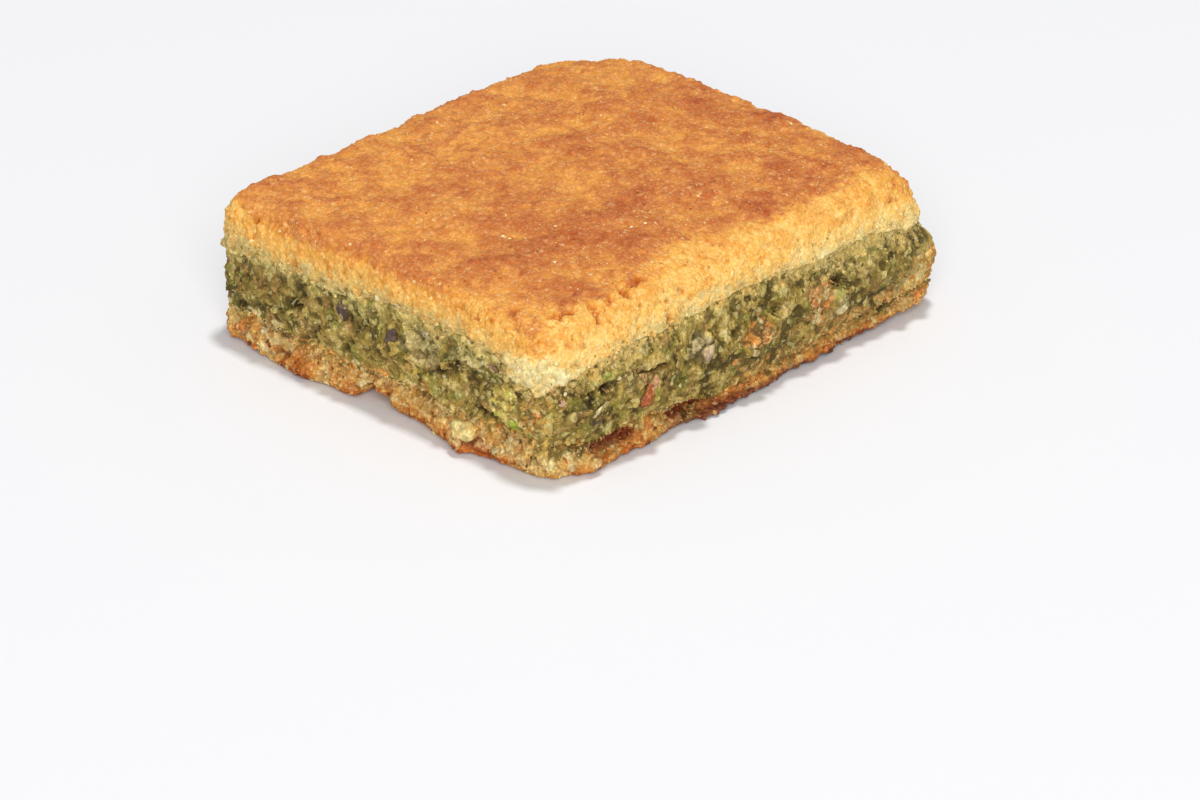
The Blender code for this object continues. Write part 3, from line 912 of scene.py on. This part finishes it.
# Bits that stand out. Side, place along it and height, length, width, lean and colour
fillingBits = (
    ("-y", -14.8, 5.6, 3.4, 1.9, 64, (192, 108, 66)),
    ("-y", -14.0, 6.6, 1.9, 1.3, 70, (220, 164, 122)),
    ("-y", -23.7, 6.6, 1.3, 1.2, 0, (228, 208, 132)),
    ("-y", -25.2, 6.9, 1.1, 1.0, 20, (206, 192, 104)),
    ("-y", -21.3, 6.4, 1.7, 0.6, 25, (226, 206, 150)),
    ("-y", -25.2, 8.9, 1.0, 0.9, 0, (232, 216, 164)),
    ("-y", -23.9, 8.7, 0.6, 0.6, 0, (232, 218, 168)),
    ("-y", -24.4, 8.0, 0.8, 0.8, 0, (206, 160, 132)),
    ("-y", -21.3, 5.4, 1.4, 0.8, -20, (110, 92, 72)),
    ("-y", -19.6, 9.4, 1.3, 0.9, 30, (152, 160, 66)),
    ("-y", -18.4, 9.9, 0.6, 0.6, 0, (228, 214, 160)),
    ("-y", -18.2, 8.7, 0.6, 0.5, 0, (228, 214, 160)),
    ("-y", -25.2, 9.9, 1.1, 0.6, 60, (206, 150, 90)),
    ("-y", -7.2, 7.4, 1.7, 1.5, 30, (212, 182, 144)),
    ("-y", -2.7, 4.5, 1.0, 0.7, 10, (214, 150, 80)),
    ("-y", 11.6, 5.3, 1.9, 1.5, 20, (226, 206, 154)),
    ("-y", 17.4, 6.6, 1.1, 0.8, 20, (206, 190, 112)),
    ("-y", 4.6, 7.2, 0.9, 0.7, 20, (204, 186, 108)),
    ("-y", -10.6, 5.0, 0.8, 0.6, 20, (220, 204, 140)),
    ("-x", -17.0, 5.0, 1.2, 1.1, 0, (170, 186, 66)),
    ("-x", -19.3, 6.8, 1.2, 1.0, 0, (222, 150, 84)),
    ("-x", -9.0, 3.9, 1.0, 0.8, 0, (226, 202, 118)),
    ("-x", 5.0, 8.9, 2.7, 1.6, 76, (98, 78, 70)),
    ("-x", -1.5, 8.5, 2.3, 1.5, -60, (112, 90, 80)),
    ("-x", 6.1, 6.8, 1.0, 0.9, 0, (206, 190, 96)),
    ("-x", 11.5, 6.3, 0.9, 0.8, 0, (198, 162, 106)),
    ("-x", -14.0, 9.7, 1.8, 0.5, 20, (176, 134, 112)),
    ("-x", -7.9, 6.6, 0.5, 0.5, 0, (228, 216, 172)),
    ("-x", -5.7, 10.2, 1.0, 0.7, 0, (236, 220, 170)),
    ("-x", -12.0, 6.4, 1.3, 0.8, 30, (204, 184, 104)),
    ("-x", 14.6, 5.6, 1.1, 0.8, -20, (200, 182, 100)),
    ("+x", -9.0, 6.4, 2.5, 1.6, 40, (208, 150, 98)),
    ("+x", 7.5, 5.9, 2.1, 1.5, -25, (196, 182, 96)),
    ("+x", -16.0, 5.0, 1.0, 0.8, 10, (232, 216, 166)),
    ("+y", -12.0, 6.8, 2.6, 1.6, 15, (194, 110, 76)),
    ("+y", 6.0, 5.8, 2.2, 1.7, 70, (228, 208, 152)),
    ("+y", 15.0, 7.0, 1.2, 0.8, 20, (210, 192, 104)),
)
# crumbly places, each with the sizes of its bits and the colours that are mixed in it
fillingClusters = (
    ("-y", 0.1, 6.4, 3.2, 2.4, 70, (0.7, 1.5),
     ((218, 142, 70), (236, 190, 116), (196, 116, 54), (240, 214, 156), (160, 140, 80))),
    ("-y", 8.9, 6.6, 3.6, 2.3, 70, (0.9, 1.7),
     ((226, 156, 90), (232, 178, 116), (206, 132, 70), (224, 196, 136))),
    ("-y", -16.0, 7.6, 2.6, 1.4, 15, (0.6, 1.1),
     ((178, 150, 92), (196, 168, 104), (156, 136, 76), (206, 150, 96))),
    ("-y", 24.2, 5.7, 1.8, 2.4, 20, (0.7, 1.4), ((226, 156, 78), (232, 180, 98), (206, 130, 60))),
    ("-x", -16.4, 7.3, 2.4, 1.7, 20, (0.6, 1.3),
     ((246, 222, 118), (240, 212, 124), (214, 198, 92), (226, 164, 84))),
    ("-x", -15.0, 6.0, 2.2, 1.7, -10, (0.6, 1.3), ((240, 218, 116), (246, 226, 136), (196, 188, 90))),
    ("-x", -18.9, 6.2, 1.3, 2.0, 0, (0.6, 1.1), ((196, 126, 68), (212, 156, 88), (176, 150, 80))),
    ("-x", -11.5, 9.3, 3.0, 1.3, -20, (0.5, 1.1), ((214, 196, 128), (196, 178, 106), (228, 212, 150))),
)
baseClusters = (
    ("-x", -15.7, 2.2, 2.2, 1.6, -20, (0.8, 1.5), ((238, 208, 136), (240, 218, 158), (226, 176, 98))),
    ("-x", -18.8, 1.9, 2.8, 1.8, 10, (0.8, 1.7), ((246, 218, 144), (242, 202, 122), (236, 190, 108))),
    ("-y", -25.2, 1.6, 2.2, 1.2, 0, (0.7, 1.4), ((248, 222, 148), (244, 206, 126), (234, 188, 108))),
    ("-y", -12.6, 1.8, 2.6, 1.4, -10, (0.6, 1.2), ((232, 188, 108), (222, 168, 88), (206, 140, 66))),
    ("-y", 23.0, 2.3, 2.4, 1.6, 10, (0.7, 1.4), ((230, 156, 76), (214, 134, 62), (236, 180, 104))),
)
baseBits = (
    ("-x", -11.2, 2.5, 3.4, 2.4, 10, (250, 226, 148)),
    ("-x", 19.5, 2.1, 1.3, 1.0, 0, (216, 132, 62)),
    ("-x", 16.0, 2.8, 1.2, 0.9, 20, (236, 214, 160)),
    ("-x", -6.2, 2.2, 1.1, 0.8, 10, (232, 190, 118)),
    ("-x", 9.4, 2.4, 1.1, 0.8, -10, (230, 190, 120)),
    ("-y", -25.0, 1.6, 1.3, 1.0, 0, (246, 222, 152)),
    ("-y", -23.4, 1.1, 1.1, 0.8, 20, (238, 212, 156)),
    ("-y", -21.6, 1.3, 1.8, 1.2, 0, (230, 188, 118)),
    ("-y", -13.0, 2.0, 1.3, 1.0, -20, (232, 190, 112)),
    ("-y", -11.4, 1.7, 1.1, 0.8, 10, (226, 176, 98)),
    ("-y", -1.2, 1.3, 1.1, 0.8, 0, (210, 128, 58)),
    ("-y", 10.1, 1.1, 1.0, 0.7, 0, (206, 124, 58)),
    ("-y", 23.2, 2.4, 1.1, 0.8, 0, (226, 148, 74)),
    ("+x", 3.0, 1.35, 1.8, 1.3, 0, (238, 214, 156)),
    ("+y", 9.0, 1.35, 1.9, 1.3, 0, (238, 214, 156)),
)
crustBits = (
    ("top", -14.0, -3.6, 0.5, 0.4, 0, (246, 216, 164)),
    ("top", -14.1, -4.6, 0.4, 0.4, 0, (244, 208, 150)),
    ("top", -5.0, -11.6, 0.5, 0.4, 0, (248, 218, 168)),
    ("top", -3.3, -11.8, 0.45, 0.4, 0, (248, 218, 168)),
    ("top", -6.3, -11.9, 0.35, 0.3, 0, (246, 226, 176)),
    ("top", -14.8, -11.1, 0.4, 0.4, 0, (246, 226, 176)),
    ("-y", -2.4, 13.2, 0.9, 0.5, 70, (252, 216, 146)),
    ("-x", 1.0, 11.4, 0.9, 0.7, 0, (236, 220, 168)),
    ("-x", -1.4, 11.5, 0.8, 0.6, 0, (236, 220, 168)),
)
spillClusters = (
    ("-x", -19.4, 10.6, 4.4, 2.4, -8, (0.8, 1.9), ((252, 236, 180), (248, 226, 160), (244, 214, 142))),
    ("-y", -25.0, 11.2, 2.0, 2.2, 0, (0.8, 1.6), ((252, 236, 180), (248, 224, 156), (246, 212, 138))),
)
toward = {"-x": (1, 0, 0), "+x": (-1, 0, 0), "-y": (0, 1, 0), "+y": (0, -1, 0), "top": (0, 0, -1)}
# how far out a look begins
lookFrom = 40


# Where a straight look from outside meets the layers, and the shade there
def lookedAt(layers, side, along, height):
    look = Vector(toward[side])
    if side == "top":
        start = Vector((along, height, lookFrom)) * mm
    else:
        start = Vector((0, along, height)) if side[1] == "x" else Vector((along, 0, height))
        start = start * mm - look * (lookFrom * mm)
    nearest, shade = None, None
    for layer in layers:
        hit, _, face, _ = layer["tree"].ray_cast(start, look)
        if hit and (nearest is None or (hit - start).length < (nearest - start).length):
            nearest, shade = hit, layer["shade"][layer["piece"].data.polygons[face].vertices[0]]
    return nearest, look, shade


# One bit: a ball broken flat on some sides, pressed into the skin and smeared with it round its rim
bitForm = {
    "flats": 11,
    "flatAt": (0.3, 0.46),
    "thickness": 0.7,
    "unevenness": 0.3,
    # how deep a bit lies, as a share of its width
    "sunk": 0.04,
    "sunkInCluster": 0.16,
    # how many bits a crumbly place has: this many, and more with its size
    "fewest": 4,
    "filledBy": 2.6,
}


def placedBit(layers, seed, side, along, height, length, width, lean, colour, sunk=bitForm["sunk"]):
    use = bitForm
    nearest, look, smear = lookedAt(layers, side, along, height)
    if side == "top":
        turn = (0, 0, math.radians(lean))
        size = (length, width, width * use["thickness"])
    else:
        turn = (0, math.radians(-lean), math.radians(90) if side[1] == "x" else 0)
        size = (length, width * use["thickness"], width)
    pickNone()
    bpy.ops.mesh.primitive_ico_sphere_add(subdivisions=3, radius=0.5)
    bit = bpy.context.object
    points = readPoints(bit)
    draw = np.random.default_rng(seed)
    for facing in draw.normal(size=(use["flats"], 3)):
        facing /= np.linalg.norm(facing)
        points -= np.clip(points @ facing - draw.uniform(*use["flatAt"]), 0, None)[:, None] * facing
    writePoints(bit, points)
    bit.location = nearest + look * sunk * width * mm
    bit.rotation_euler = turn
    bit.scale = Vector(size) * mm
    bpy.ops.object.transform_apply(location=True, rotation=True, scale=True)
    points = readPoints(bit) / mm
    middle = points.mean(0)
    chunky = swell(points, 0.6 * length, 3.1 * seed) + 0.6 * swell(points, 0.3, 1.7 * seed)
    points = middle + (points - middle) * (1 + use["unevenness"] * chunky)[:, None]
    writePoints(bit, points * mm)
    patchy = 1 + 0.3 * swell(points, 0.5, 5.3)
    shade = np.tile(np.array(colour, float), (len(points), 1)) * patchy[:, None]
    deep = (points - np.array(nearest) / mm) @ np.array(look)
    smeared = 0.8 * fade(deep, -0.12 * width, 0.1 * width) + 0.25 * fade(swell(points, 0.4, 2.2), 0.2, 0.4)
    paint(bit, mixed(shade, smear, smeared))
    return bit


# A crumbly place: small bits that fill an oval
def placedCluster(layers, seed, side, along, height, length, width, lean, sizes, colours):
    draw = random.Random(seed)
    turn = math.radians(lean)
    made = []
    count = int(bitForm["fewest"] + bitForm["filledBy"] * length * width / sum(sizes))
    for order in range(count):
        out, angle = 0.5 * math.sqrt(draw.random()), draw.uniform(0, 2 * math.pi)
        first, second = length * out * math.cos(angle), width * out * math.sin(angle)
        size = draw.uniform(*sizes)
        place = along + first * math.cos(turn) - second * math.sin(turn)
        level = height + first * math.sin(turn) + second * math.cos(turn)
        form = (size, size * draw.uniform(0.8, 1.0), draw.uniform(0, 180), draw.choice(colours))
        bit = placedBit(layers, 100 * seed + order, side, place, level, *form, bitForm["sunkInCluster"])
        made.append(bit)
    return made


# All bits of one layer, joined into one piece
def placedBits(name, own, layers, bits, clusters):
    made = [placedBit(layers, seed + 1, *bit) for seed, bit in enumerate(bits)]
    for seed, cluster in enumerate(clusters):
        made += placedCluster(layers, seed + 1, *cluster)
    pickNone()
    for bit in made:
        bit.select_set(True)
    bpy.context.view_layer.objects.active = made[0]
    bpy.ops.object.join()
    made[0].name = name
    finished(made[0], own["material"], own["slot"])


# Studio: pale floor, soft light all round, a small lamp high above and a wide one in front
studio = {
    "floorSize": 6,
    "floorTone": (235, 235, 237),
    "floorRoughness": 0.7,
    "floorGloss": 0.2,
    "cameraPlace": (-0.3219, -0.3090, 0.2284),
    "cameraAim": (-0.0106, -0.0129, 0.0),
    "cameraLens": 156,
    "sensorWidth": 36,
    "skyTone": (0.99, 0.995, 1.0),
    "skyStrength": 0.34,
    # name, place, size and power
    "lamps": (
        ("keyLamp", (0.12, -0.03, 1.20), 0.16, 7.2),
        ("frontLamp", (-1.0, -1.0, 0.88), 1.0, 17.4),
    ),
}


def makeStudio():
    use = studio
    pickNone()
    bpy.ops.mesh.primitive_plane_add(size=use["floorSize"], location=(0, 0, 0))
    floor = bpy.context.object
    floor.name = "paleFloor"
    material = bpy.data.materials.new("paleFloor")
    material.use_nodes = True
    shader = material.node_tree.nodes["Principled BSDF"]
    setInputs(shader, {
        "Base Color": (*linear(use["floorTone"]), 1),
        "Roughness": use["floorRoughness"],
        "Specular IOR Level": use["floorGloss"],
    })
    floor.data.materials.append(material)

    scene.world = bpy.data.worlds.new("softSky")
    scene.world.use_nodes = True
    sky = scene.world.node_tree.nodes["Background"]
    setInputs(sky, {"Color": (*use["skyTone"], 1), "Strength": use["skyStrength"]})
    for name, place, size, power in use["lamps"]:
        lamp = bpy.data.lights.new(name, "AREA")
        lamp.shape = "DISK"
        lamp.size = size
        lamp.energy = power
        lampObject = bpy.data.objects.new(name, lamp)
        lampObject.location = place
        lampObject.rotation_euler = (-Vector(place)).to_track_quat("-Z", "Y").to_euler()
        scene.collection.objects.link(lampObject)

    camera = bpy.data.cameras.new("photoCamera")
    camera.lens = use["cameraLens"]
    camera.sensor_width = use["sensorWidth"]
    cameraObject = bpy.data.objects.new("photoCamera", camera)
    place = Vector(use["cameraPlace"])
    cameraObject.location = place
    cameraObject.rotation_euler = (Vector(use["cameraAim"]) - place).to_track_quat("-Z", "Y").to_euler()
    scene.collection.objects.link(cameraObject)
    scene.camera = cameraObject
    scene.view_settings.view_transform = "Standard"
    print("studio ready")


# Where each kind of crumb lies, by a face's place, how far it faces up and its height above the seam
def onCutSides(spots, up, above):
    return np.abs(up) < 0.8


def onShoulders(spots, up, above):
    return (up > -0.6) * (0.12 + 0.88 * np.clip((0.95 - up) / 0.2, 0, 1))


def onTop(spots, up, above):
    return (up > 0.9) * (0.5 + 0.9 * fade(-spots[:, 1], 2, 12))


def onBaseRim(spots, up, above):
    return (np.abs(up) < 0.75) * (spots[:, 2] > 0.25)


def alongTheEdge(spots, up, above):
    return (np.abs(up) < 0.9) * (hump(above + 0.2, 0.45) + 0.3 * hump(above - 0.4, 0.7))


def alongTheLip(spots, up, above):
    return (up > -0.97) * (up < 0.3) * hump(above + 0.1, 0.3)


def alongTheRim(spots, up, above):
    return (np.abs(up) < 0.9) * hump(above - 0.1, 0.4)


def underTheSeam(spots, up, above):
    corner = hump(np.hypot(spots[:, 0] + 25.4, spots[:, 1] + 19.4), 5.0)
    return (np.abs(up) < 0.85) * (hump(above - 0.2, 0.9) + 1.2 * corner * hump(above, 2.4))


makeStudio()
crust = makeTopCrust()
paste = makeFilling()
base = makeBaseCrust()
crumbsOn(paste, "nutGrains", nutGrains, onCutSides)
crumbsOn(paste, "seamCrumbs", seamCrumbs, underTheSeam)
crumbsOn(crust, "crustCrumbs", crustCrumbs, onShoulders)
crumbsOn(crust, "topGrains", topGrains, onTop)
crumbsOn(crust, "edgeCrumbs", edgeCrumbs, alongTheEdge)
crumbsOn({**paste, "levels": paste["lowLevels"]}, "lipCrumbs", lipCrumbs, alongTheLip)
crumbsOn(base, "baseCrumbs", baseCrumbs, onBaseRim)
crumbsOn(base, "rimCrumbs", rimCrumbs, alongTheRim)
bpy.context.view_layer.update()
depsgraph = bpy.context.evaluated_depsgraph_get()
layers = (crust, paste, base)
for layer in layers:
    layer["tree"] = BVHTree.FromObject(layer["piece"], depsgraph)
placedBits("nutBits", paste, layers, fillingBits, fillingClusters)
placedBits("baseBits", base, layers, baseBits, baseClusters)
placedBits("crustBits", crust, layers, crustBits, spillClusters)
